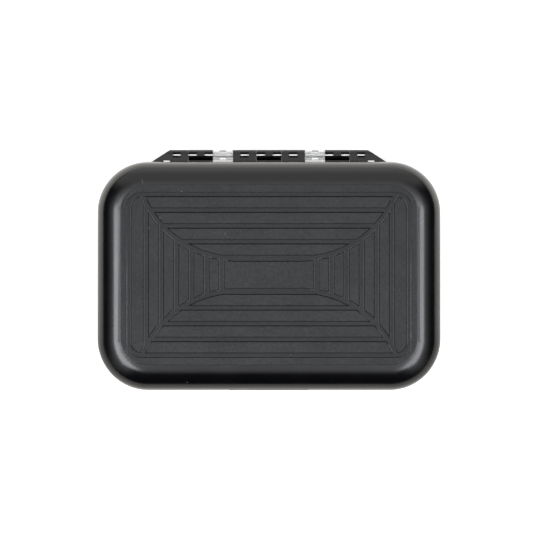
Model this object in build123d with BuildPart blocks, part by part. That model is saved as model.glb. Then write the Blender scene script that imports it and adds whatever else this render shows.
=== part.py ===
from build123d import *
from math import hypot, sqrt
import os

# A pocket fly box: two shells on one long hinge pin, a clear leaf that swings between
# them, a gasket in the rim, a flush front latch, and rows of slit foam inside.
# X runs along the hinge, +Y is the hinge side and +Z is up. The origin is the centre
# of the underside of the base. All sizes are in millimetres.

# Case
case_length = 150.0
case_width = 99.5
case_height = 40.0
corner_radius = 22.0
edge_round = 10.2
wall = 2.4

# Relief: a raised pad on each broad face, and on the lid a raised panel and sunk fields
panel_step = 0.25
web_step = 0.3
field_depth = 0.45
frame_margin_x = 2.4
frame_margin_y = 3.35
frame_corner_radius = 6.8
frame_web = 2.2
field_corner_radius = 4.8
centre_length = 39.0
centre_width = 12.8
row_count = 4
row_web = 2.3
column_count = 6
column_web = 2.43
outer_column_extra = 1.1
mitre_radius = 45.0
mitre_web = 2.5
mitre_inset = 5.2

# Rim seal
rim_wall = 1.1
seal_side_gap = 0.3
land_width = 1.1
groove_depth = 3.4
gasket_height = 1.5
gasket_side_gap = 0.1
seal_gap = 0.3

# Hinge
knuckle_radius = 2.2
hinge_gap = 1.15
hinge_end_margin = 1.05
gusset_drop = 3.3
pin_radius = 0.75
pin_clearance = 0.05
pin_end_wall = 0.5
window_width = 2.3
window_drop = 0.5
knuckle_gap = 0.2
leaf_knuckle_gap = 0.15
parting_gap = 0.1
base_centre_knuckle = 10.9
base_outer_extra = 0.6
leaf_knuckle = 8.6
lid_outer_knuckle = 7.9
wing_length = 8.55
lid_window_share = 0.39
base_window_share = 0.35
outer_window = 3.6
outer_bearing = 1.2
wing_notch_length = 2.8
wing_notch_width = 0.9

# Swing leaf
leaf_thickness = 1.8
leaf_seat_gap = 0.3
leaf_edge_gap = 0.3
finger_notch_radius = 6.5

# Front latch
latch_length = 33.2
latch_side_gap = 0.4
latch_gap = 0.15
latch_end_gap = 0.25
latch_barrel_radius = 1.8
latch_thickness = 2.0
trunnion_radius = 1.1
trunnion_length = 1.6
trunnion_clearance = 0.1
trunnion_end_gap = 0.2
pocket_half_height = 8.8
pocket_corner_cut = 1.5
snap_rib_drop = 2.45
snap_bead_radius = 0.9
snap_gap = 0.1
grip_count = 3
grip_pitch = 1.6
grip_depth = 0.4

# Slit foam rows
foam_rows = 6
foam_width = 6.0
foam_side_margin = 4.4
foam_end_margin = 1.8
shell_foam_height = 6.5
leaf_foam_height = 4.5

# How far a joined solid runs into its neighbour, and a cut past a face
overlap = 0.5

# Heights
parting = case_height / 2
slope_end = panel_step + web_step
floor_top = slope_end + wall
floor_chamfer = (2 - sqrt(2)) * (edge_round - wall)
groove_bottom = parting - groove_depth
tongue_depth = groove_depth - gasket_height - seal_gap
leaf_bottom = parting - leaf_thickness / 2
leaf_top = parting + leaf_thickness / 2
land_top = leaf_bottom - leaf_seat_gap

# Insets from the case's outline
groove_inner = wall + seal_side_gap
land_inner = groove_inner + land_width
thick_wall_foot = floor_top + floor_chamfer - (land_inner - wall) - overlap
leaf_inset = groove_inner + leaf_edge_gap

# Hinge line, and stations of the knuckles along it, from the middle outwards
case_back = case_width / 2
hinge_y = case_back + knuckle_radius + hinge_gap
bore_radius = pin_radius + pin_clearance
hinge_half = case_length / 2 - corner_radius - hinge_end_margin
taken = base_centre_knuckle / 2 + 2 * knuckle_gap + 2 * leaf_knuckle_gap
taken += leaf_knuckle + base_outer_extra + lid_outer_knuckle + wing_length
long_knuckle = (hinge_half - taken) / 2
base_centre_end = base_centre_knuckle / 2
lid_inner_start = base_centre_end + knuckle_gap
lid_inner_end = lid_inner_start + long_knuckle
leaf_start = lid_inner_end + leaf_knuckle_gap
leaf_end = leaf_start + leaf_knuckle
base_outer_start = leaf_end + leaf_knuckle_gap
base_outer_end = base_outer_start + long_knuckle + base_outer_extra
lid_outer_start = base_outer_end + knuckle_gap
lid_outer_end = lid_outer_start + lid_outer_knuckle

# Latch pocket, pivot and snap
case_front = -case_width / 2
pocket_length = latch_length + 2 * latch_side_gap
pocket_depth = 2 * (latch_barrel_radius + latch_gap)
pocket_floor = case_front + pocket_depth
pocket_bottom = parting - pocket_half_height
latch_front = case_front + latch_gap
latch_back = latch_front + latch_thickness
latch_y = latch_front + latch_barrel_radius
latch_z = parting + pocket_half_height - latch_end_gap - latch_barrel_radius
snap_rib_radius = pocket_floor - latch_back - snap_bead_radius - snap_gap
snap_rib_z = parting - snap_rib_drop
snap_bead_z = snap_rib_z - snap_rib_radius - snap_bead_radius
latch_tip = snap_bead_z - snap_bead_radius
grip_side = sqrt(2) * grip_depth

# Foam rows
floor_half_x = case_length / 2 - edge_round
floor_half_y = case_width / 2 - edge_round
foam_length = 2 * (floor_half_x - foam_end_margin)
foam_pitch = 2 * (floor_half_y - foam_side_margin - foam_width / 2) / (foam_rows - 1)

# Relief fields, and the centre of the arcs that mitre the rows with the columns: the
# arc starts at the corner of the centre field and ends near the corner of the frame
frame_half_x = floor_half_x - frame_margin_x
frame_half_y = floor_half_y - frame_margin_y
field_half_x = frame_half_x - frame_web
field_half_y = frame_half_y - frame_web
row_pitch = (field_half_y - centre_width / 2) / row_count
column_pitch = (field_half_x - outer_column_extra - centre_length / 2) / column_count
mitre_start_x = (centre_length + column_web) / 2
mitre_start_y = (centre_width + row_web) / 2
mitre_end_x = field_half_x - mitre_inset
mitre_end_y = field_half_y
mitre_run_x = mitre_end_x - mitre_start_x
mitre_run_y = mitre_end_y - mitre_start_y
mitre_chord = hypot(mitre_run_x, mitre_run_y)
mitre_rise = sqrt(mitre_radius**2 - (mitre_chord / 2) ** 2)
mitre_x = (mitre_start_x + mitre_end_x) / 2 - mitre_rise * mitre_run_y / mitre_chord
mitre_y = (mitre_start_y + mitre_end_y) / 2 + mitre_rise * mitre_run_x / mitre_chord


def case_outline(inset):
    """The plan outline of the case, moved inwards by inset."""
    with BuildSketch() as plan:
        RectangleRounded(case_length - 2 * inset, case_width - 2 * inset, corner_radius - inset)
    return plan.sketch


def rim_outline(inset):
    """The same outline, stepped in at the front to pass behind the latch pocket."""
    with BuildSketch() as plan:
        add(case_outline(inset))
        with Locations((0, case_front)):
            Rectangle(pocket_length + 2 * inset, 2 * (pocket_depth + inset), mode=Mode.SUBTRACT)
        step_half = pocket_length / 2 + inset + overlap
        step_corners = plan.vertices().filter_by_position(Axis.X, -step_half, step_half)
        chamfer(step_corners, pocket_corner_cut)
    return plan.sketch


def rim_ring(outer, inner, bottom, top):
    """A wall that follows the rim between two insets."""
    with BuildPart() as rim_wall_ring:
        with BuildSketch(Plane.XY.offset(bottom)):
            add(rim_outline(outer))
            add(rim_outline(inner), mode=Mode.SUBTRACT)
        extrude(amount=top - bottom)
    return rim_wall_ring.part


def mitre_region(radius):
    """The two round-ended regions that hold the rows, above and below the middle."""
    with BuildSketch() as region:
        with Locations((0, mitre_y), (0, -mitre_y)):
            Rectangle(2 * abs(mitre_x), 2 * radius)
        with GridLocations(2 * mitre_x, 2 * mitre_y, 2, 2):
            Circle(radius)
    return region.sketch


def relief_rows():
    """Long fields beside the front and back of the frame, ended by the mitres."""
    with BuildSketch() as rows:
        for row in range(row_count):
            row_height = row_pitch - row_web
            middle = centre_width / 2 + row_web + row_height / 2 + row * row_pitch
            with Locations((0, middle), (0, -middle)):
                Rectangle(2 * field_half_x, row_height)
        add(mitre_region(mitre_radius - mitre_web / 2), mode=Mode.INTERSECT)
    return rows.sketch


def relief_columns():
    """Short fields beside the two ends of the frame, outside the mitres."""
    with BuildSketch() as columns:
        for column in range(column_count):
            start = centre_length / 2 + column_web + column * column_pitch
            is_outer = column == column_count - 1
            end = field_half_x if is_outer else start + column_pitch - column_web
            with Locations(((start + end) / 2, 0), (-(start + end) / 2, 0)):
                Rectangle(end - start, 2 * field_half_y)
        add(mitre_region(mitre_radius + mitre_web / 2), mode=Mode.SUBTRACT)
    return columns.sketch


def relief_fields():
    """The sunk fields round the middle, with the round corners of the frame."""
    with BuildSketch() as fields:
        add(relief_rows())
        add(relief_columns())
        RectangleRounded(
            2 * field_half_x, 2 * field_half_y, field_corner_radius, mode=Mode.INTERSECT
        )
    return fields.sketch


def cavity():
    """The room inside one shell, with a sloped floor edge behind the round outer one."""
    with BuildPart() as room:
        with BuildSketch(Plane.XY.offset(floor_top)):
            add(case_outline(wall))
        extrude(amount=parting - floor_top)
        chamfer(room.faces().sort_by(Axis.Z)[0].edges(), floor_chamfer)
        # The wall steps in behind the latch pocket
        with BuildSketch(Plane.XY.offset(floor_top)):
            add(rim_outline(wall))
        extrude(amount=parting - floor_top, mode=Mode.INTERSECT)
    return room.part


def barrel(start, end, radius):
    """A round along the hinge line between two stations."""
    with BuildPart() as roll:
        with BuildSketch(Plane.YZ.offset(start)):
            with Locations((hinge_y, parting)):
                Circle(radius)
        extrude(amount=end - start)
    return roll.part


def pin_window(start, end, above=True):
    """A slot that opens a knuckle to the pin and reaches a little past the pin's middle."""
    side = 1 if above else -1
    height = window_drop + knuckle_radius + overlap
    middle = parting + side * (height / 2 - window_drop)
    with BuildPart() as slot:
        with Locations(((start + end) / 2, hinge_y, middle)):
            Box(end - start, window_width, height)
    return slot.part


def base_knuckle(start, end):
    """A knuckle on a gusset below the pin, with a window over the pin at each end."""
    with BuildPart() as knuckle:
        with BuildSketch(Plane.YZ.offset(start)):
            with BuildLine():
                Polyline(
                    (hinge_y, parting - parting_gap),
                    (case_back - overlap, parting - parting_gap),
                    (case_back - overlap, parting - knuckle_radius - gusset_drop),
                    (case_back, parting - knuckle_radius - gusset_drop),
                    (hinge_y, parting - knuckle_radius),
                    close=True,
                )
            make_face()
        extrude(amount=end - start)
        add(barrel(start, end, knuckle_radius))
        add(barrel(start, end, bore_radius), mode=Mode.SUBTRACT)
        window = base_window_share * (end - start)
        add(pin_window(start, start + window), mode=Mode.SUBTRACT)
        add(pin_window(end - window, end), mode=Mode.SUBTRACT)
    return knuckle.part


def lid_knuckle(start, end, bore_start, bore_end):
    """A knuckle with a flat top above the pin, and its bore."""
    with BuildPart() as knuckle:
        with BuildSketch(Plane.YZ.offset(start)):
            with BuildLine():
                Polyline(
                    (hinge_y, parting + parting_gap),
                    (hinge_y, parting + knuckle_radius),
                    (case_back - overlap, parting + knuckle_radius),
                    (case_back - overlap, parting + parting_gap),
                    close=True,
                )
            make_face()
        extrude(amount=end - start)
        add(barrel(start, end, knuckle_radius))
        add(barrel(bore_start, bore_end, bore_radius), mode=Mode.SUBTRACT)
    return knuckle.part


def lid_inner_knuckle(start, end):
    """A knuckle beside the middle, with one window over the pin."""
    bearing = (end - start) * (1 - lid_window_share) / 2
    with BuildPart() as knuckle:
        add(lid_knuckle(start, end, start, end))
        add(pin_window(start + bearing, end - bearing), mode=Mode.SUBTRACT)
    return knuckle.part


def lid_outer_knuckle_with_wing(bore_end):
    """The knuckle at the +X end, with its sloped wing and the notch at the wing's root."""
    height = 2 * (knuckle_radius + overlap)
    window_end = lid_outer_end - outer_bearing
    window_start = window_end - outer_window
    with BuildPart() as knuckle:
        add(lid_knuckle(lid_outer_start, hinge_half, lid_outer_start, bore_end))
        with BuildSketch(Plane.XY.offset(parting - height / 2)):
            with BuildLine():
                Polyline(
                    (lid_outer_end, hinge_y + knuckle_radius),
                    (hinge_half, case_back),
                    (hinge_half + overlap, case_back),
                    (hinge_half + overlap, hinge_y + knuckle_radius + overlap),
                    (lid_outer_end, hinge_y + knuckle_radius + overlap),
                    close=True,
                )
            make_face()
            with Locations(
                (lid_outer_end + wing_notch_length / 2, case_back + wing_notch_width / 2)
            ):
                Rectangle(wing_notch_length, wing_notch_width)
        extrude(amount=height, mode=Mode.SUBTRACT)
        add(pin_window(window_start, window_end), mode=Mode.SUBTRACT)
    return knuckle.part


def leaf_slots(bottom, top):
    """The cuts through the back wall for the two arms of the leaf."""
    length = base_outer_start - lid_inner_end
    depth = wall + overlap
    middle_x = (base_outer_start + lid_inner_end) / 2
    middle_y = case_back - wall + depth / 2
    with BuildPart() as slots:
        with Locations(
            (middle_x, middle_y, (bottom + top) / 2),
            (-middle_x, middle_y, (bottom + top) / 2),
        ):
            Box(length, depth, top - bottom)
    return slots.part


# The blank of both shells: broad face down on z = 0, open at the parting plane
with BuildPart() as shell_blank:
    with BuildSketch(Plane.XY.offset(slope_end)):
        add(case_outline(0))
    extrude(amount=parting - slope_end)
    fillet(shell_blank.faces().sort_by(Axis.Z)[0].edges(), edge_round)
    # Raised pad, on which the box can rest either way up
    with BuildSketch():
        RectangleRounded(2 * frame_half_x, 2 * frame_half_y, frame_corner_radius)
    extrude(amount=slope_end + overlap)
    add(cavity(), mode=Mode.SUBTRACT)
    # Latch pocket in the front wall
    with BuildSketch(Plane.XY.offset(pocket_bottom)):
        with Locations((0, case_front)):
            Rectangle(pocket_length, 2 * pocket_depth)
    extrude(amount=parting - pocket_bottom, mode=Mode.SUBTRACT)


# Base shell: a thicker wall with the seal groove in its rim, three knuckles, and the rib
# that the latch snaps under
with BuildPart() as base_shell:
    add(shell_blank.part)
    add(
        [
            rim_ring(wall - overlap, land_inner, thick_wall_foot, land_top),
            base_knuckle(-base_outer_end, -base_outer_start),
            base_knuckle(-base_centre_end, base_centre_end),
            base_knuckle(base_outer_start, base_outer_end),
        ]
    )
    with BuildSketch(Plane.YZ.offset(-pocket_length / 2 - overlap)):
        with Locations((pocket_floor, snap_rib_z)):
            Circle(snap_rib_radius)
    extrude(amount=pocket_length + 2 * overlap)
    add(
        [
            rim_ring(rim_wall, groove_inner, groove_bottom, parting + overlap),
            leaf_slots(land_top, parting + overlap),
        ],
        mode=Mode.SUBTRACT,
    )
base_shell.part.label = "base_shell"


# Lid shell: the blank turned over, with a raised panel round its pad, fields sunk in the
# pad that leave a frame of webs, a tongue that presses on the gasket, four knuckles, and
# sockets for the latch
blind_end = lid_outer_end - pin_end_wall
socket_half = latch_length / 2 + trunnion_length + trunnion_end_gap
with BuildPart() as lid_shell:
    add(mirror(shell_blank.part, about=Plane.XY.offset(parting)))
    with BuildSketch(Plane.XY.offset(case_height - slope_end - overlap)):
        RectangleRounded(2 * floor_half_x, 2 * floor_half_y, corner_radius - edge_round)
    extrude(amount=panel_step + overlap)
    with BuildSketch(Plane.XY.offset(case_height - field_depth)):
        Rectangle(centre_length, centre_width)
        add(mitre_region(mitre_radius + mitre_web / 2), mode=Mode.SUBTRACT)
        add(relief_fields())
    extrude(amount=field_depth, mode=Mode.SUBTRACT)
    tongue_inset = rim_wall + seal_side_gap
    closed_wing = lid_outer_knuckle_with_wing(blind_end)
    open_wing = lid_outer_knuckle_with_wing(hinge_half)
    add(
        [
            rim_ring(tongue_inset, wall, parting - tongue_depth, parting + overlap),
            mirror(open_wing, about=Plane.YZ),
            lid_inner_knuckle(-lid_inner_end, -lid_inner_start),
            lid_inner_knuckle(lid_inner_start, lid_inner_end),
            closed_wing,
        ]
    )
    add(
        leaf_slots(parting - tongue_depth - overlap, leaf_top + leaf_seat_gap),
        mode=Mode.SUBTRACT,
    )
    with BuildSketch(Plane.YZ.offset(-socket_half)):
        with Locations((latch_y, latch_z)):
            Circle(trunnion_radius + trunnion_clearance)
    extrude(amount=2 * socket_half, mode=Mode.SUBTRACT)
lid_shell.part.label = "lid_shell"


# Hinge pin: one straight steel wire, pushed in from the -X end
with BuildPart() as hinge_pin:
    add(barrel(-lid_outer_end, blind_end - pin_clearance, pin_radius))
hinge_pin.part.label = "hinge_pin"


# Clear swing leaf: a stiff plate with two arms and two knuckles
with BuildPart() as swing_leaf:
    with BuildSketch(Plane.XY.offset(leaf_bottom)):
        add(rim_outline(leaf_inset))
    extrude(amount=leaf_thickness)
    for start in (-leaf_end, leaf_start):
        arm_root = case_back - leaf_inset - overlap
        with Locations((start + leaf_knuckle / 2, (arm_root + hinge_y) / 2, parting)):
            Box(leaf_knuckle, hinge_y - arm_root, leaf_thickness)
        add(barrel(start, start + leaf_knuckle, knuckle_radius))
        add(barrel(start, start + leaf_knuckle, bore_radius), mode=Mode.SUBTRACT)
        leaf_window = leaf_knuckle * base_window_share
        end = start + leaf_knuckle
        add(pin_window(start, start + leaf_window, above=False), mode=Mode.SUBTRACT)
        add(pin_window(end - leaf_window, end, above=False), mode=Mode.SUBTRACT)
    # Notch for a fingertip in the front edge
    with BuildSketch(Plane.XY.offset(leaf_bottom)):
        with Locations((0, pocket_floor + leaf_inset)):
            Circle(finger_notch_radius)
    extrude(amount=leaf_thickness, mode=Mode.SUBTRACT)
swing_leaf.part.label = "swing_leaf"


# Rim gasket: a soft ring lying in the base's groove
with BuildPart() as rim_gasket:
    add(
        rim_ring(
            rim_wall + gasket_side_gap,
            groove_inner - gasket_side_gap,
            groove_bottom,
            groove_bottom + gasket_height,
        )
    )
rim_gasket.part.label = "rim_gasket"


# Front latch: a flush lever on two trunnions in the lid, with a bead that snaps
# under the base's rib
with BuildPart() as front_latch:
    with BuildSketch(Plane.YZ.offset(-latch_length / 2)):
        with Locations((latch_y, latch_z)):
            Circle(latch_barrel_radius)
        with Locations(((latch_front + latch_back) / 2, (latch_tip + latch_z) / 2)):
            Rectangle(latch_thickness, latch_z - latch_tip)
        with Locations((latch_back, snap_bead_z)):
            Circle(snap_bead_radius)
        for grip in range(grip_count):
            grip_z = snap_bead_z + grip * grip_pitch
            with Locations((latch_front, grip_z)):
                Rectangle(grip_side, grip_side, rotation=45, mode=Mode.SUBTRACT)
    extrude(amount=latch_length)
    trunnion_span = latch_length + 2 * trunnion_length
    with BuildSketch(Plane.YZ.offset(-trunnion_span / 2)):
        with Locations((latch_y, latch_z)):
            Circle(trunnion_radius)
    extrude(amount=trunnion_span)
front_latch.part.label = "front_latch"


def foam_row(height, seat, upwards, y):
    """One strip of slit foam on a flat seat."""
    side = 1 if upwards else -1
    with BuildPart() as strip:
        with BuildSketch(Plane.YZ.offset(-foam_length / 2)):
            with Locations((y, seat + side * height / 2)):
                Rectangle(foam_width, height)
        extrude(amount=foam_length)
    return strip.part


# Slit foam, numbered from the front row to the hinge
foam_sets = {
    "base_foam_row": (shell_foam_height, floor_top, True),
    "leaf_under_foam_row": (leaf_foam_height, leaf_bottom, False),
    "leaf_upper_foam_row": (leaf_foam_height, leaf_top, True),
    "lid_foam_row": (shell_foam_height, case_height - floor_top, False),
}
foam = []
for set_name, (height, seat, upwards) in foam_sets.items():
    for row in range(foam_rows):
        row_y = (row - (foam_rows - 1) / 2) * foam_pitch
        strip = foam_row(height, seat, upwards, row_y)
        strip.label = f"{set_name}_{row + 1}"
        foam.append(strip)

os.makedirs("parts", exist_ok=True)
export_step(base_shell.part, "parts/base_shell.step")
export_step(lid_shell.part, "parts/lid_shell.step")
export_step(hinge_pin.part, "parts/hinge_pin.step")
export_step(swing_leaf.part, "parts/swing_leaf.step")
export_step(rim_gasket.part, "parts/rim_gasket.step")
export_step(front_latch.part, "parts/front_latch.step")
for strip in foam:
    export_step(strip, f"parts/{strip.label}.step")
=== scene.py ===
import bmesh
import bpy
from math import cos, hypot, pi, radians, sin
from mathutils import Matrix, Vector


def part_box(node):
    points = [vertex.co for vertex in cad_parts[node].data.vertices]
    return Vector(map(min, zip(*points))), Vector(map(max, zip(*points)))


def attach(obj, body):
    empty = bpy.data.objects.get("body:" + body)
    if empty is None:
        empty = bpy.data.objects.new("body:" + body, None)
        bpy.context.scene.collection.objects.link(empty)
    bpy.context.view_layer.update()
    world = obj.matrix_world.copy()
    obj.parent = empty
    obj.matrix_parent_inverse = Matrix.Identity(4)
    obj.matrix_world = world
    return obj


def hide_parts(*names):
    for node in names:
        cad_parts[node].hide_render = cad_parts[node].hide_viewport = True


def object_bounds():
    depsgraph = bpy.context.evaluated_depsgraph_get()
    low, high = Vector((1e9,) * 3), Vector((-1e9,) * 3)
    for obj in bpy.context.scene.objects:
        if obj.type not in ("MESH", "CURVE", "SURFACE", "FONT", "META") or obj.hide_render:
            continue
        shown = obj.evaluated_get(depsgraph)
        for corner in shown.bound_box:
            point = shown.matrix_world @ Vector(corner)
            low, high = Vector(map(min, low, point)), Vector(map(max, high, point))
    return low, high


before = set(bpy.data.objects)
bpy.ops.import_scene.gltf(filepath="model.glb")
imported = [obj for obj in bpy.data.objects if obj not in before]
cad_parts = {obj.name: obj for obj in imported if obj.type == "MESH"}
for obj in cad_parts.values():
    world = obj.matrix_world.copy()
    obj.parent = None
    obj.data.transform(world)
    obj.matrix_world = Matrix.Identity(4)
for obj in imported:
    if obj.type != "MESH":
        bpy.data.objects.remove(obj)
cad_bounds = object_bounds()
MM = 0.001


# White table
# A seamless sheet of white paper under the box, plain white with the box's soft shadow.
# In reflections it is brightest behind the hinge and ends in front, and from below it
# can't be seen, so that the underside shows.
class Wire:
    """A socket of a node tree. Arithmetic on wires adds Math nodes."""

    def __init__(self, tree, socket):
        self.tree = tree
        self.socket = socket

    def node(self, kind, sockets=(), output=0, **settings):
        """Adds a node, sets its settings, then sets or links its sockets."""
        made = self.tree.nodes.new(kind)
        for name, value in settings.items():
            setattr(made, name, value)
        for name, value in dict(sockets).items():
            if isinstance(value, Wire):
                self.tree.links.new(value.socket, made.inputs[name])
            else:
                made.inputs[name].default_value = value
        return Wire(self.tree, made.outputs[output] if made.outputs else None)

    def math(self, operation, first, second=0.0, clamp=False):
        return self.node(
            "ShaderNodeMath", {0: first, 1: second}, operation=operation, use_clamp=clamp
        )

    def other(self, name):
        """Another output of the same node."""
        return Wire(self.tree, self.socket.node.outputs[name])

    def __add__(self, other):
        return self.math("ADD", self, other)

    __radd__ = __add__

    def __sub__(self, other):
        return self.math("SUBTRACT", self, other)

    def __rsub__(self, other):
        return self.math("SUBTRACT", other, self)

    def __mul__(self, other):
        return self.math("MULTIPLY", self, other)

    __rmul__ = __mul__

    def size(self):
        return self.math("ABSOLUTE", self)

    def clamped(self):
        return self.math("ADD", self, 0.0, clamp=True)

    def rise(self, start, end):
        """A smooth step from 0 at start to 1 at end."""
        return self.node(
            "ShaderNodeMapRange",
            {"Value": self, "From Min": start, "From Max": end},
            interpolation_type="SMOOTHSTEP",
        )


def new_material(name):
    """An empty material and the wire that adds nodes to it."""
    material = bpy.data.materials.new(name)
    material.use_nodes = True
    material.node_tree.nodes.clear()
    return material, Wire(material.node_tree, None)


def set_surface(tree, shader):
    tree.node("ShaderNodeOutputMaterial", {"Surface": shader})


table_half = 3.0
table_drop = 0.05 * MM
table_white = 0.86
table_glow = 0.50
table_front = -0.06
table_back = 0.06
back_glow = 0.45
front_share = 0.58
side_share = 0.88
sheet_front = -0.18
sheet_side = 0.30
sheet_blur = 0.04
sheet_warmth = (1.05, 1.0, 0.92)

table_mesh = bmesh.new()
bmesh.ops.create_grid(table_mesh, x_segments=1, y_segments=1, size=table_half)
table_data = bpy.data.meshes.new("white_table")
table_mesh.to_mesh(table_data)
table = bpy.data.objects.new("white_table", table_data)
table.location.z = -table_drop
bpy.context.scene.collection.objects.link(table)
table_paper, tree = new_material("white_table_paper")
place = tree.node("ShaderNodeTexCoord", output="Object")
sideways = tree.node("ShaderNodeSeparateXYZ", {0: place}, output="X")
towards_back = sideways.other("Y")
on_sheet = towards_back.rise(sheet_front - sheet_blur, sheet_front + sheet_blur)
on_sheet = on_sheet * (1 - sideways.size().rise(sheet_side - sheet_blur, sheet_side + sheet_blur))
behind = towards_back.rise(0, table_back)
before = 1 - towards_back.rise(table_front, 0)
share = side_share + (1 - side_share) * behind - (side_share - front_share) * before
lit = table_white * on_sheet * share
lit_white = tree.node(
    "ShaderNodeCombineColor", {channel: lit * tone for channel, tone in enumerate(sheet_warmth)}
)
white = tree.node("ShaderNodeCombineColor", {channel: table_white for channel in range(3)})
sheet = tree.node("ShaderNodeBsdfDiffuse", {"Color": lit_white})
sheet_glow = tree.node("ShaderNodeEmission", {"Strength": back_glow * behind * on_sheet})
sheet = tree.node("ShaderNodeAddShader", {0: sheet, 1: sheet_glow})
paper = tree.node("ShaderNodeBsdfDiffuse", {"Color": white})
glow = tree.node("ShaderNodeEmission", {"Strength": table_glow})
shown_paper = tree.node("ShaderNodeAddShader", {0: paper, 1: glow})
camera_ray = tree.node("ShaderNodeLightPath", output="Is Camera Ray")
seen = (camera_ray + camera_ray.other("Is Transmission Ray")).clamped()
from_above = tree.node("ShaderNodeMixShader", {0: seen, 1: sheet, 2: shown_paper})
from_below = tree.node("ShaderNodeBsdfTransparent")
underneath = tree.node("ShaderNodeNewGeometry", output="Backfacing")
set_surface(
    tree, tree.node("ShaderNodeMixShader", {0: underneath, 1: from_above, 2: from_below})
)
table.data.materials.append(table_paper)


# Studio light and camera
# Two softboxes hang over the left and right of the box. A pale ceiling, pale sides and a
# wall behind the hinge light the rest, and the room is dark towards the front. The camera
# looks almost straight down.
lamp_height = 0.75
lamp_side = 0.34
lamp_forward = 0.17
lamp_size_x = 0.34
lamp_size_y = 0.58
lamp_tilt = 25
left_power = 3.90
right_power = 3.16
lamp_colour = (0.95, 0.98, 1.04)

for side, power in ((-1, left_power), (1, right_power)):
    lamp_data = bpy.data.lights.new("softbox", "AREA")
    lamp_data.shape = "RECTANGLE"
    lamp_data.size = lamp_size_x
    lamp_data.size_y = lamp_size_y
    lamp_data.energy = power
    lamp_data.color = lamp_colour
    lamp = bpy.data.objects.new("softbox", lamp_data)
    lamp.location = (side * lamp_side, -lamp_forward, lamp_height)
    lamp.rotation_euler = (0, side * radians(lamp_tilt), 0)
    bpy.context.scene.collection.objects.link(lamp)

ceiling_light = 1.30
ceiling_start = 0.71
ceiling_full = 0.99
side_light = 1.6
side_start = 0.25
side_middle = 0.50
side_end = 1.0
side_forward = 0.20
side_depth_full = 0.25
side_depth_end = 0.70
wall_light = 1.12
wall_taper = 0.60
wall_start = 0.04
wall_full = 0.40
horizon_light = 0.5
horizon_start = 0.85
room_light = 0.012

world = bpy.data.worlds.new("studio")
world.use_nodes = True
world.node_tree.nodes.clear()
tree = Wire(world.node_tree, None)
direction = tree.node("ShaderNodeTexCoord", output="Generated")
sideways = tree.node("ShaderNodeSeparateXYZ", {0: direction}, output="X")
towards_back = sideways.other("Y")
ceiling = ceiling_light * sideways.other("Z").rise(ceiling_start, ceiling_full)
off_middle = sideways.size()
wall = (towards_back - wall_taper * off_middle).rise(wall_start, wall_full)
wall = wall_light * wall
wall = wall + horizon_light * towards_back.rise(horizon_start, 1.0)
beside = off_middle.rise(side_start, side_middle)
beside = beside * (1 - off_middle.rise(side_middle, side_end))
off_lamps = (towards_back + side_forward).size()
beside = side_light * beside * (1 - off_lamps.rise(side_depth_full, side_depth_end))
room = room_light + beside + tree.math("MAXIMUM", ceiling, wall)
camera_ray = tree.node("ShaderNodeLightPath", output="Is Camera Ray")
shown = (camera_ray + camera_ray.other("Is Transmission Ray")).clamped()
strength = shown + (1 - shown) * room
sky = tree.node("ShaderNodeBackground", {"Strength": strength})
tree.node("ShaderNodeOutputWorld", {"Surface": sky})
bpy.context.scene.world = world

# The camera, with its film width in millimetres and the rest in metres
photo_pixels = 540
pixel = 0.4383 * MM
film_width = 36.0
camera_distance = 6.0
camera_tilt = radians(1.7)
camera_aim = Vector((0.46 * MM, 2.69 * MM, 20 * MM))

camera_data = bpy.data.cameras.new("camera")
camera_data.sensor_width = film_width
camera_data.lens = film_width * camera_distance / (photo_pixels * pixel)
camera_data.clip_end = 2 * camera_distance
camera = bpy.data.objects.new("camera", camera_data)
camera.location = camera_aim + camera_distance * Vector((0, -sin(camera_tilt), cos(camera_tilt)))
camera.rotation_euler = (camera_tilt, 0, 0)
bpy.context.scene.collection.objects.link(camera)
bpy.context.scene.camera = camera
bpy.context.scene.view_settings.view_transform = "Standard"


# Lid and base shells
# Two black ABS mouldings of equal depth that meet at the seam and turn on one pin. Their
# broad faces have a fine spark texture, and the round edges come glossier out of the
# mould. Handling has left specks and a short scratch. Shade is painted into the steps of
# the relief and the hollows of the hinge, and two painted highlight lines run along the
# left and right edges of the lid's panel.

# Plastic, dull on the broad faces and glossier on the slopes
shell_colour = (0.0017, 0.0018, 0.0024, 1)
shell_ior = 1.53
slope_roughness = 0.20
panel_roughness = 0.68
web_roughness = 0.725
mottle_scale = 1300.0
mottle_spread = 0.34
smear_scale = 60.0
smear_detail = 4.0
smear_spread = 0.14
noise_mean = 0.5
grain_scale = 1700.0
grain_detail = 3.0
grain_height = 0.03 * MM
grain_strength = 0.5
grain_on_slopes = 0.15

# Painted shade, dust, the scratch and the painted highlight lines
# Painted shade: a dull black share darkens the steps of the relief, in place of their shadows.
step_painted_shade = 0.14
# Painted shade: the hinge's hollows, up to just above the seam, are darkened the same way.
hollow_painted_shade = 0.85
dust_and_highlight_colour = (0.16, 0.16, 0.16, 1)
dust_scale = 420.0
dust_core = 0.06
dust_rim = 0.15
dust_rarity = 0.974
scratch_x = -55.4 * MM
scratch_y = 40.9 * MM
scratch_length = 1.6 * MM
scratch_width = 0.35 * MM
scratch_strength = 0.25
# These two lines are a painted highlight: lighter lines along the left and right edges of the
# lid's panel, in place of the reflection on the step's crest.
painted_highlight_x = 62.05 * MM
painted_highlight_y = -13.0 * MM
painted_highlight_length = 44.0 * MM
painted_highlight_width = 0.40 * MM
painted_highlight_fade = 9.0 * MM
painted_highlight_strength = 0.30
painted_highlight_gap_below = 0.3
painted_highlight_full_above = 0.6

# Heights where one finish gives way to another
mask_blur = 0.08 * MM
soft_blur = 0.32 * MM
panel_level = 39.5 * MM
web_level = 39.95 * MM
hollow_level = 21.2 * MM
relief_level = 39.3 * MM

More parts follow.
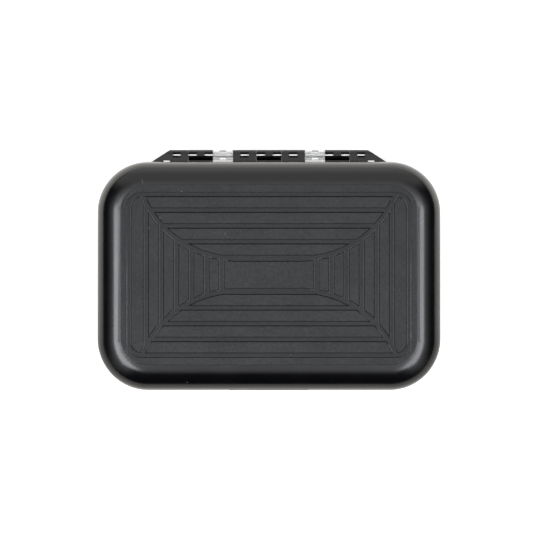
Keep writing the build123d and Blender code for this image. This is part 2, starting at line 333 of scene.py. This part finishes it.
# Crests of the relief, the seam and the knuckle ends
crest_share = 0.95
crest_segments = 3
slope_mark = "step_slope"
flat_limit = 0.97
corner_radius = 22.0 * MM
hinge_setback = 1.0 * MM
knuckle_growth = 0.08 * MM
end_face_limit = 0.99
seam_round = 0.25 * MM
rim_tolerance = 0.05 * MM

# Merging and shading of the meshes, with the angles in degrees
level_tolerance = 0.01 * MM
merge_distance = 0.001 * MM
flat_angle = 0.3
smooth_angle = 32

# The case is centred on the origin, and only the hinge stands out behind it.
case_low, case_high = cad_bounds
case_length = case_high.x - case_low.x
case_width = -2 * case_low.y
case_height = case_high.z
seam_level = case_height / 2
hinge_start = case_width / 2 + hinge_setback


def within(wire, middle, length, blur):
    """1 where wire lies in a span round its middle, falling to 0 outside."""
    return 1 - (wire - middle).size().rise(length / 2 - blur, length / 2 + blur)


def shell_plastic(name):
    """Black plastic, dull on the broad faces, with painted shade in its steps and hollows."""
    material, tree = new_material(name)
    place = tree.node("ShaderNodeTexCoord", output="Object")
    across = tree.node("ShaderNodeSeparateXYZ", {0: place}, output="X")
    depth = across.other("Y")
    height = across.other("Z")
    on_slope = tree.node("ShaderNodeAttribute", output="Fac", attribute_name=slope_mark)
    on_lid = height.rise(panel_level - mask_blur, panel_level)
    base_level = case_height - panel_level
    on_base = 1 - height.rise(base_level, base_level + mask_blur)
    on_panel = (on_lid + on_base).clamped()
    on_web = height.rise(web_level - mask_blur, web_level)
    # Where painted shade darkens the hinge's hollows behind the case.
    in_hollow = depth.rise(hinge_start, hinge_start + mask_blur)
    in_hollow = in_hollow * (1 - height.rise(hollow_level, hollow_level + soft_blur))

    smears = tree.node(
        "ShaderNodeTexNoise", {"Vector": place, "Scale": smear_scale, "Detail": smear_detail}
    )
    mottle = tree.node("ShaderNodeTexNoise", {"Vector": place, "Scale": mottle_scale})
    flat_roughness = panel_roughness + (web_roughness - panel_roughness) * on_web
    flat_roughness = flat_roughness + mottle_spread * (mottle - noise_mean)
    on_flat = on_panel * (1 - on_slope)
    roughness = slope_roughness + (flat_roughness - slope_roughness) * on_flat
    roughness = roughness + smear_spread * (smears - noise_mean)

    specks = tree.node(
        "ShaderNodeTexVoronoi", {"Vector": place, "Scale": dust_scale}, output="Distance"
    )
    rarity = tree.node("ShaderNodeSeparateColor", {0: specks.other("Color")})
    dust = (1 - specks.rise(dust_core, dust_rim)) * rarity.rise(dust_rarity, 1.0)
    scratch = within(across, scratch_x, scratch_width, mask_blur)
    scratch = scratch * within(depth, scratch_y, scratch_length, soft_blur)
    scratch = scratch * height.rise(seam_level, panel_level)
    # Painted highlight along the left and right edges of the lid's panel, broken up by the
    # mottle.
    painted_highlight = within(across.size(), painted_highlight_x, painted_highlight_width, mask_blur) * on_lid
    painted_highlight = painted_highlight * within(depth, painted_highlight_y, painted_highlight_length, painted_highlight_fade)
    painted_highlight = painted_highlight * mottle.rise(painted_highlight_gap_below, painted_highlight_full_above)
    # Dust and the scratch are real marks. The painted highlight lines lighten the colour in the
    # same way.
    marks_and_highlight = (dust + scratch_strength * scratch + painted_highlight_strength * painted_highlight).clamped()
    colour = tree.node(
        "ShaderNodeMix", {0: marks_and_highlight, 6: shell_colour, 7: dust_and_highlight_colour}, output=2, data_type="RGBA"
    )

    grain = tree.node(
        "ShaderNodeTexNoise", {"Vector": place, "Scale": grain_scale, "Detail": grain_detail}
    )
    grain = grain * (grain_on_slopes + (1 - grain_on_slopes) * on_panel)
    bump = tree.node(
        "ShaderNodeBump",
        {"Strength": grain_strength, "Distance": grain_height, "Height": grain},
    )
    plastic = tree.node(
        "ShaderNodeBsdfPrincipled",
        {"Base Color": colour, "Roughness": roughness, "IOR": shell_ior, "Normal": bump},
    )
    # Painted shade: a dull black diffuse share darkens the relief's steps and the hinge's
    # hollows.
    painted_shade = tree.node("ShaderNodeBsdfDiffuse", {"Color": shell_colour})
    painted_shade_share = (step_painted_shade * on_panel * on_slope + hollow_painted_shade * in_hollow).clamped()
    set_surface(tree, tree.node("ShaderNodeMixShader", {0: painted_shade_share, 1: plastic, 2: painted_shade}))
    return material


def is_sharp(edge):
    """True where two faces meet at a clear corner."""
    return len(edge.link_faces) == 2 and edge.calc_face_angle() > radians(smooth_angle)


def joined_copy(node_name):
    """A CAD node's mesh with its loose triangles joined into whole faces."""
    shape = bmesh.new()
    shape.from_mesh(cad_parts[node_name].data)
    bmesh.ops.remove_doubles(shape, verts=shape.verts, dist=merge_distance)
    bmesh.ops.dissolve_limit(
        shape, angle_limit=radians(flat_angle), verts=shape.verts, edges=shape.edges
    )
    return shape


def round_off(shape, edges, size, segments=2, clamped=True):
    """Rounds edges to a size. Clamped, it stays smaller where faces are narrow."""
    bmesh.ops.bevel(
        shape,
        geom=edges,
        offset=size,
        segments=segments,
        profile=0.5,
        affect="EDGES",
        clamp_overlap=clamped,
        material=-1,
    )


def finished_piece(shape, piece_name, node_name, body, material):
    """Puts a shape in the scene in place of its CAD node."""
    for face in shape.faces:
        face.smooth = True
    for edge in shape.edges:
        edge.smooth = not is_sharp(edge)
    data = bpy.data.meshes.new(piece_name)
    shape.to_mesh(data)
    shape.free()
    data.materials.append(material)
    piece = bpy.data.objects.new(piece_name, data)
    bpy.context.scene.collection.objects.link(piece)
    flat_faces_lead = piece.modifiers.new("flat_faces_lead", "WEIGHTED_NORMAL")
    flat_faces_lead.keep_sharp = True
    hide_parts(node_name)
    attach(piece, body)
    return piece


def rim_inset(point):
    """How far a point lies inside the case's plan outline, near the rim."""
    past_x = max(abs(point.x) - (case_length / 2 - corner_radius), 0)
    past_y = max(abs(point.y) - (case_width / 2 - corner_radius), 0)
    return corner_radius - hypot(past_x, past_y)


def is_seam(edge):
    """True on the sharp outer edge where the two shells meet."""
    return is_sharp(edge) and all(
        abs(vertex.co.z - seam_level) < level_tolerance
        and rim_inset(vertex.co) < rim_tolerance
        for vertex in edge.verts
    )


def round_steps(shape, broad_face_up):
    """Rounds the crest of each step of the relief by a share of its depth, and marks it."""

    def level(vertex):
        return vertex.co.z if broad_face_up else case_height - vertex.co.z

    by_depth = {}
    for edge in shape.edges:
        in_relief = min(level(vertex) for vertex in edge.verts) > relief_level
        is_level = abs(edge.verts[0].co.z - edge.verts[1].co.z) < level_tolerance
        if in_relief and is_level and is_sharp(edge) and edge.is_convex:
            wall_face = min(edge.link_faces, key=lambda face: abs(face.normal.z))
            heights = [vertex.co.z for vertex in wall_face.verts]
            depth = round((max(heights) - min(heights)) / MM, 2)
            by_depth.setdefault(depth, []).append(edge)
    for depth, edges in by_depth.items():
        live = [edge for edge in edges if edge.is_valid]
        round_off(shape, live, crest_share * depth * MM, crest_segments, clamped=False)
    mark = shape.faces.layers.float.new(slope_mark)
    for face in shape.faces:
        face[mark] = float(abs(face.normal.z) < flat_limit)


def close_gaps(shape, growth):
    """Moulded knuckles stand closer than the CAD gap, so their ends grow towards it."""
    ends = {}
    for face in shape.faces:
        reaches_hinge = max(vertex.co.y for vertex in face.verts) > hinge_start
        if abs(face.normal.x) > end_face_limit and reaches_hinge:
            for vertex in face.verts:
                ends[vertex] = growth if face.normal.x > 0 else -growth
    for vertex, shift in ends.items():
        vertex.co.x += shift


case_plastic = shell_plastic("black_case_plastic")
for body, broad_face_up in (("lid", True), ("base", False)):
    shell = joined_copy(body + "_shell")
    close_gaps(shell, knuckle_growth)
    round_steps(shell, broad_face_up)
    round_off(shell, [edge for edge in shell.edges if is_seam(edge)], seam_round)
    finished_piece(shell, body + "_moulding", body + "_shell", body, case_plastic)


# Rim gasket
# A moulded ring of soft grey silicone with a rounded crest. It lies in the groove of the
# base's rim, and the lid's tongue presses on it.
gasket_round = 0.35 * MM
gasket_segments = 3
rubber_colour = (0.30, 0.31, 0.32, 1)
rubber_roughness = 0.45
rubber_ior = 1.41

rubber, tree = new_material("grey_silicone")
shader = tree.node(
    "ShaderNodeBsdfPrincipled",
    {"Base Color": rubber_colour, "Roughness": rubber_roughness, "IOR": rubber_ior},
)
set_surface(tree, shader)
gasket = joined_copy("rim_gasket")
gasket_top = max(vertex.co.z for vertex in gasket.verts)
crest = [
    edge
    for edge in gasket.edges
    if all(gasket_top - vertex.co.z < level_tolerance for vertex in edge.verts)
]
round_off(gasket, crest, gasket_round, gasket_segments)
finished_piece(gasket, "gasket_ring", "rim_gasket", "base", rubber)


# Swing leaf
# A stiff plate of clear plastic, moulded in one with two arms and two knuckles, with
# polished edges. The knuckles are what shows of it outside the closed box.
leaf_growth = 0.04 * MM
leaf_round = 0.2 * MM
leaf_colour = (0.955, 0.955, 0.95, 1)
leaf_roughness = 0.08
leaf_ior = 1.49
leaf_clearness = 0.75

leaf_plastic, tree = new_material("clear_leaf_plastic")
shader = tree.node(
    "ShaderNodeBsdfPrincipled",
    {
        "Base Color": leaf_colour,
        "Roughness": leaf_roughness,
        "IOR": leaf_ior,
        "Transmission Weight": leaf_clearness,
    },
)
set_surface(tree, shader)
leaf = joined_copy("swing_leaf")
close_gaps(leaf, leaf_growth)
round_off(leaf, [edge for edge in leaf.edges if is_sharp(edge)], leaf_round)
finished_piece(leaf, "clear_leaf", "swing_leaf", "leaf", leaf_plastic)


# Slit foam
# Rows of pale closed-cell foam, cut to strips and glued to the shells and to both faces
# of the leaf. Slits cut across each row grip the hooks of the flies.
slit_pitch = 2.6 * MM
slit_mouth = 0.3 * MM
slit_share = 0.62
foam_edge = 0.6 * MM
foam_colour = (0.62, 0.63, 0.62, 1)
foam_roughness = 0.85
cell_scale = 1500.0
cell_depth = 0.05 * MM
cell_strength = 0.6
foam_rows = 6
foam_sets = {
    "base_foam_row": ("base", True),
    "leaf_under_foam_row": ("leaf", False),
    "leaf_upper_foam_row": ("leaf", True),
    "lid_foam_row": ("lid", False),
}

foam, tree = new_material("pale_slit_foam")
place = tree.node("ShaderNodeTexCoord", output="Object")
cells = tree.node("ShaderNodeTexVoronoi", {"Vector": place, "Scale": cell_scale})
bump = tree.node(
    "ShaderNodeBump", {"Strength": cell_strength, "Distance": cell_depth, "Height": cells}
)
shader = tree.node(
    "ShaderNodeBsdfPrincipled",
    {"Base Color": foam_colour, "Roughness": foam_roughness, "Normal": bump},
)
set_surface(tree, shader)


def runs_along(edge, length):
    """True where an edge runs the whole length of a strip."""
    return abs(edge.verts[0].co.x - edge.verts[1].co.x) > length / 2


def slit_strip(node_name, upwards):
    """A block in its node's place, with a deep narrow V pressed into it at each slit."""
    low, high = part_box(node_name)
    size = high - low
    seat, top = (low.z, high.z) if upwards else (high.z, low.z)
    slit_depth = slit_share * (top - seat)
    slit_count = round(size.x / slit_pitch) - 1
    stations = [(low.x, 0.0)]
    for number in range(slit_count):
        middle = low.x + (number + 1) * size.x / (slit_count + 1)
        stations += [
            (middle - slit_mouth / 2, 0.0),
            (middle, slit_depth),
            (middle + slit_mouth / 2, 0.0),
        ]
    stations.append((high.x, 0.0))

    shape = bmesh.new()
    block = Matrix.Translation((low + high) / 2) @ Matrix.Diagonal((*size, 1))
    bmesh.ops.create_cube(shape, size=1.0, matrix=block)
    crests = [
        edge
        for edge in shape.edges
        if runs_along(edge, size.x) and abs(edge.verts[0].co.z - top) < level_tolerance
    ]
    round_off(shape, crests, foam_edge, segments=1)
    lengthwise = [edge for edge in shape.edges if runs_along(edge, size.x)]
    bmesh.ops.subdivide_edges(shape, edges=lengthwise, cuts=len(stations) - 2)
    for vertex in shape.verts:
        number = round((vertex.co.x - low.x) / size.x * (len(stations) - 1))
        x, sink = stations[number]
        vertex.co.x = x
        if abs(vertex.co.z - seat) > level_tolerance:
            vertex.co.z -= sink
    shape.normal_update()
    return shape


for set_name, (body, upwards) in foam_sets.items():
    for row in range(1, foam_rows + 1):
        node_name = f"{set_name}_{row}"
        strip = finished_piece(
            slit_strip(node_name, upwards),
            f"slit_{set_name}_{row}",
            node_name,
            body,
            foam,
        )


# Hinge pin
# A straight length of polished steel wire, pushed in through all the knuckles. It shows
# in their windows, steel-coloured along its middle, with painted shade darkening its sides.
pin_segments = 48
pin_end_round = 0.2 * MM
steel_colour = (0.83, 0.79, 0.74, 1)
steel_roughness = 0.40
# Painted shade: the colour of the pin's sides, where the windows are dark.
pin_side_painted_shade = (0.02, 0.02, 0.02, 1)
steel_band_width = 0.85 * MM
steel_band_blur = 0.12 * MM

pin_low, pin_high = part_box("hinge_pin")
pin_radius = (pin_high.z - pin_low.z) / 2
pin_middle = (pin_low + pin_high) / 2

steel, tree = new_material("pin_steel")
place = tree.node("ShaderNodeTexCoord", output="Object")
depth = tree.node("ShaderNodeSeparateXYZ", {0: place}, output="Y")
# Painted shade: the pin keeps its steel colour in a band along its middle and turns black towards
# its sides.
steel_band = within(depth, pin_middle.y, steel_band_width, steel_band_blur)
colour = tree.node(
    "ShaderNodeMix", {0: steel_band, 6: pin_side_painted_shade, 7: steel_colour}, output=2, data_type="RGBA"
)
shader = tree.node(
    "ShaderNodeBsdfPrincipled",
    {"Base Color": colour, "Metallic": 1.0, "Roughness": steel_roughness},
)
set_surface(tree, shader)
pin = bmesh.new()
bmesh.ops.create_cone(
    pin,
    cap_ends=True,
    segments=pin_segments,
    radius1=pin_radius,
    radius2=pin_radius,
    depth=pin_high.x - pin_low.x,
    matrix=Matrix.Translation(pin_middle) @ Matrix.Rotation(pi / 2, 4, "Y"),
)
round_off(pin, [edge for edge in pin.edges if is_sharp(edge)], pin_end_round)
finished_piece(pin, "pin_wire", "hinge_pin", "base", steel)


# Front latch
# A flush lever of the same black plastic, moulded with softened edges and three finger
# grooves. It turns on two trunnions in the lid and snaps under a rib on the base.
latch_round = 0.25 * MM

latch = joined_copy("front_latch")
round_off(latch, [edge for edge in latch.edges if is_sharp(edge)], latch_round)
latch_plastic = shell_plastic("black_latch_plastic")
finished_piece(latch, "latch_lever", "front_latch", "latch", latch_plastic)
